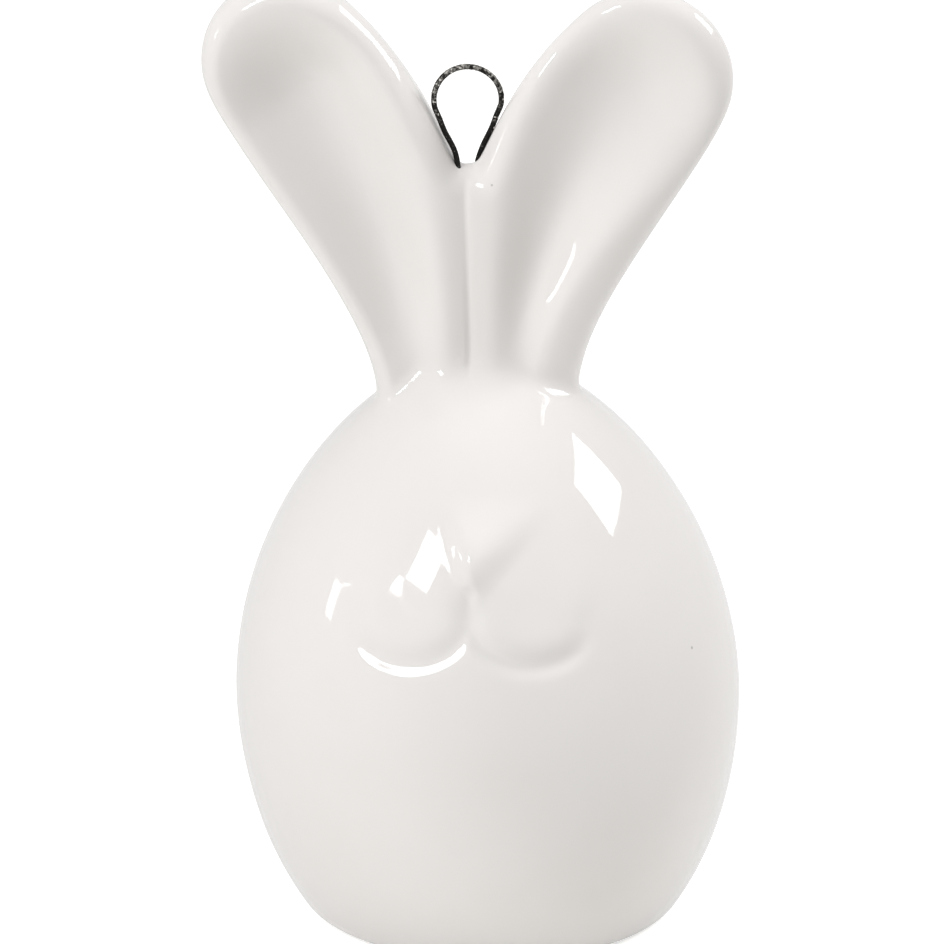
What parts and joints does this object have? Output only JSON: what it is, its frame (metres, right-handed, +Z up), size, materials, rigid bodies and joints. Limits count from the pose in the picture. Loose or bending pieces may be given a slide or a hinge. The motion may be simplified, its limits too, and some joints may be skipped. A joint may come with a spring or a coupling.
{
  "type": "rabbit figurine",
  "caption": "Small glazed ceramic rabbit head on a flat foot, egg-shaped, with two scooped ears, a raised nose, a pressed mouth and a wire loop to hang it by.",
  "frame": {"origin": "on the table that the foot stands on, below the middle of the figure's width and depth", "axes": "+Z up through the head towards the ears, -Y the way the face looks, +X towards the rabbit's left ear"},
  "size_m": [0.0622, 0.059, 0.1111],
  "materials": {
    "glazed_head": "clear gloss glaze over a white body, bare biscuit on the foot",
    "glazed_ears": "clear gloss glaze over a white body",
    "dark_wire": "oxidised resistance wire, darkened in the kiln, with pale specks of glaze"
  },
  "bodies": {
    "root": {"head_shell": "glazed_head", "right_ear": "glazed_ears", "left_ear": "glazed_ears", "hanging_loop": "dark_wire"}
  },
  "joints": []
}
